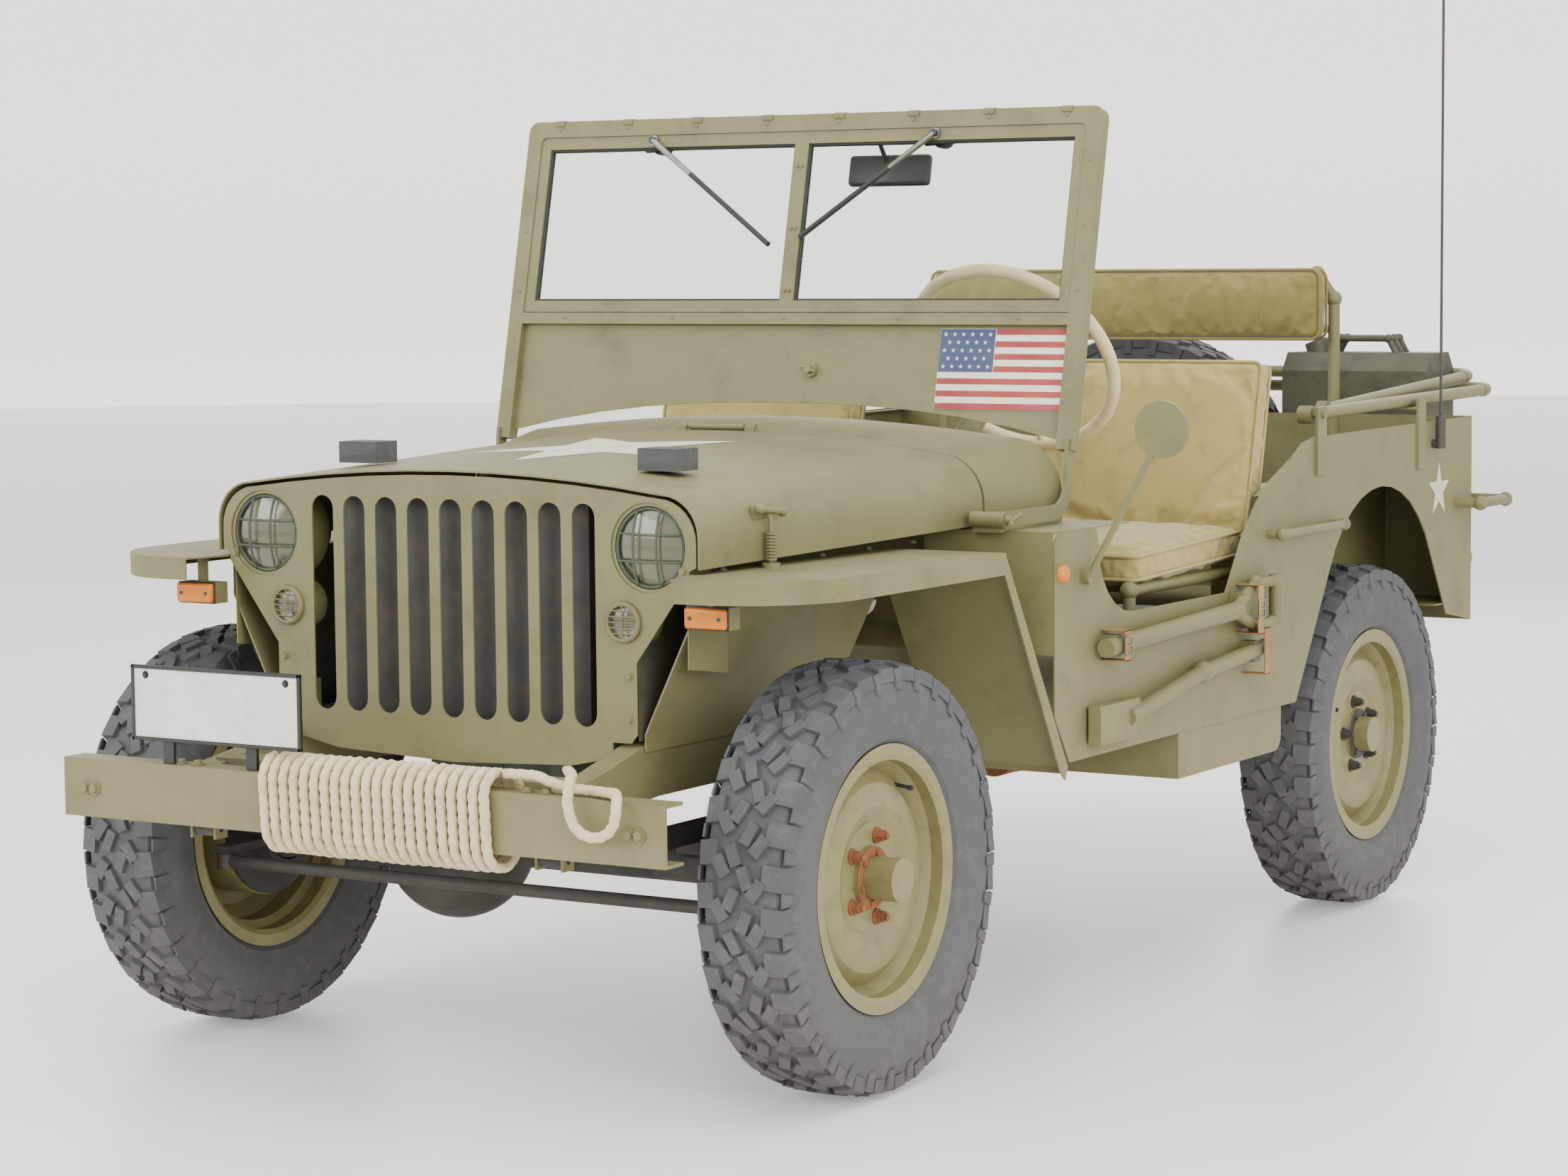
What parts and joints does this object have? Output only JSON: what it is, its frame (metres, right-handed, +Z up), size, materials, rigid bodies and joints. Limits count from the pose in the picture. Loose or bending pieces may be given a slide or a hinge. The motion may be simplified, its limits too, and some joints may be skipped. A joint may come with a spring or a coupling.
{
  "type": "army 4x4 car",
  "caption": "Open army field car with four driven wheels, slotted grille, flat fenders, opening hood, folding windscreen, canvas seats, folding top bows and a rope on the front bumper.",
  "frame": {"origin": "on the ground, on the centreline, midway between the front and rear axles", "axes": "+X to the driver's side (the car's left), +Y to the rear, +Z up; the front faces -Y"},
  "size_m": [1.7112, 3.3354, 2.5],
  "materials": {
    "paint": "weathered matt olive drab paint",
    "wheel_paint": "matt pale olive paint with rust at the hub",
    "can_paint": "dark grey-green paint",
    "dark_steel": "dark oily chassis paint",
    "rusty_steel": "brown surface rust on steel",
    "cast_iron": "painted cast iron",
    "lamp": "clear and amber lamp glass in painted shells",
    "wiper": "bare wiper steel",
    "plate": "blank white plate in a black frame",
    "rope": "laid hemp rope",
    "canvas": "khaki cotton canvas with piping",
    "olive_canvas": "olive cotton canvas",
    "wheel_rim": "cream wrapped rim on a painted hub",
    "wood": "dark painted hardwood",
    "glass": "clear flat safety glass",
    "tyre": "black rubber with a bar tread"
  },
  "bodies": {
    "root": {"chassis_frame": "paint", "front_bumper": "paint", "rope_coil": "rope", "rope_tail": "rope", "number_plate": "plate", "leaf_springs": "dark_steel", "shock_absorbers": "dark_steel", "front_axle": "dark_steel", "rear_axle": "dark_steel", "prop_shafts": "dark_steel", "engine_and_gearbox": "cast_iron", "exhaust": "rusty_steel", "radiator": "dark_steel", "grille": "paint", "lamps": "lamp", "fenders": "paint", "cowl": "paint", "body_sides": "paint", "rear_panel": "paint", "floor": "paint", "dashboard": "paint", "fuel_tank": "paint", "steering_column": "paint", "driver_seat_frame": "paint", "driver_seat_pads": "canvas", "aerial": "dark_steel", "wing_mirror": "paint", "tools": "paint", "grab_handles": "paint", "bumperettes": "paint", "pintle_hook": "dark_steel", "spare_tyre": "tyre", "spare_wheel": "wheel_paint", "fuel_can": "can_paint", "rear_seat_cushion": "canvas"},
    "hood": {"hood": "paint", "hood_blocks": "wood"},
    "windscreen": {"windscreen_frame": "paint", "glass_frame": "paint", "windscreen_glass": "glass", "wipers": "wiper"},
    "steering": {"steering_wheel": "wheel_rim"},
    "hub_carrier_left": {"knuckle_left": "dark_steel"},
    "hub_carrier_right": {"knuckle_right": "dark_steel"},
    "track_rod": {"tie_rod": "dark_steel"},
    "passenger_seat": {"passenger_seat_frame": "paint", "passenger_seat_pads": "canvas"},
    "rear_backrest": {"rear_seat_frame": "paint", "rear_seat_back": "olive_canvas"},
    "bow_front": {"top_bow_front": "paint"},
    "bow_rear": {"top_bow_rear": "paint"},
    "road_wheel_front_left": {"tyre_front_left": "tyre", "wheel_front_left": "wheel_paint"},
    "road_wheel_front_right": {"tyre_front_right": "tyre", "wheel_front_right": "wheel_paint"},
    "road_wheel_rear_left": {"tyre_rear_left": "tyre", "wheel_rear_left": "wheel_paint"},
    "road_wheel_rear_right": {"tyre_rear_right": "tyre", "wheel_rear_right": "wheel_paint"}
  },
  "joints": [
    {"name": "steer_left", "type": "hinge", "parent": "root", "child": "hub_carrier_left", "pos_m": [0.542, -1.016, 0.355], "axis": [0, 0, 1], "range_deg": [-26, 26]},
    {"name": "steer_right", "type": "hinge", "parent": "root", "child": "hub_carrier_right", "pos_m": [-0.542, -1.016, 0.355], "axis": [0, 0, 1], "range_deg": [-26, 26]},
    {"name": "track_rod_swing", "type": "hinge", "parent": "hub_carrier_left", "child": "track_rod", "pos_m": [0.542, -1.181, 0.313], "axis": [0, 0, 1], "range_deg": [-26, 26]},
    {"name": "steering_wheel_turn", "type": "hinge", "parent": "root", "child": "steering", "pos_m": [0.3, 0.18, 1.16], "axis": [0, 0.8192, 0.5736], "range_deg": [-364, 364]},
    {"name": "wheel_spin_front_left", "type": "hinge", "parent": "hub_carrier_left", "child": "road_wheel_front_left", "pos_m": [0.632, -1.016, 0.355], "axis": [1, 0, 0], "continuous": true},
    {"name": "wheel_spin_front_right", "type": "hinge", "parent": "hub_carrier_right", "child": "road_wheel_front_right", "pos_m": [-0.632, -1.016, 0.355], "axis": [1, 0, 0], "continuous": true},
    {"name": "wheel_spin_rear_left", "type": "hinge", "parent": "root", "child": "road_wheel_rear_left", "pos_m": [0.632, 1.016, 0.355], "axis": [1, 0, 0], "continuous": true},
    {"name": "wheel_spin_rear_right", "type": "hinge", "parent": "root", "child": "road_wheel_rear_right", "pos_m": [-0.632, 1.016, 0.355], "axis": [1, 0, 0], "continuous": true},
    {"name": "hood_hinge", "type": "hinge", "parent": "root", "child": "hood", "pos_m": [0, -0.4175, 1.05], "axis": [-1, 0, 0], "range_deg": [0, 105]},
    {"name": "windscreen_fold", "type": "hinge", "parent": "root", "child": "windscreen", "pos_m": [0, -0.48, 0.9], "axis": [-1, 0, 0], "range_deg": [-108.5, 0]},
    {"name": "passenger_seat_tip", "type": "hinge", "parent": "root", "child": "passenger_seat", "pos_m": [-0.457, -0.049, 0.552], "axis": [1, 0, 0], "range_deg": [0, 35]},
    {"name": "rear_backrest_fold", "type": "hinge", "parent": "root", "child": "rear_backrest", "pos_m": [0, 1.316, 0.907], "axis": [1, 0, 0], "range_deg": [0, 88]},
    {"name": "bow_front_raise", "type": "hinge", "parent": "root", "child": "bow_front", "pos_m": [0, 0.69, 1.036], "axis": [1, 0, 0], "range_deg": [0, 90]},
    {"name": "bow_rear_spread", "type": "hinge", "parent": "bow_front", "child": "bow_rear", "pos_m": [0, 0.85, 1.03853], "axis": [1, 0, 0], "range_deg": [-40, 0]}
  ],
  "couplings": [
    {"joint": "steer_right", "follows": "steer_left", "ratio": 1},
    {"joint": "track_rod_swing", "follows": "steer_left", "ratio": -1},
    {"joint": "steering_wheel_turn", "follows": "steer_left", "ratio": 14},
    {"joint": "bow_rear_spread", "follows": "bow_front_raise", "ratio": -0.444}
  ]
}
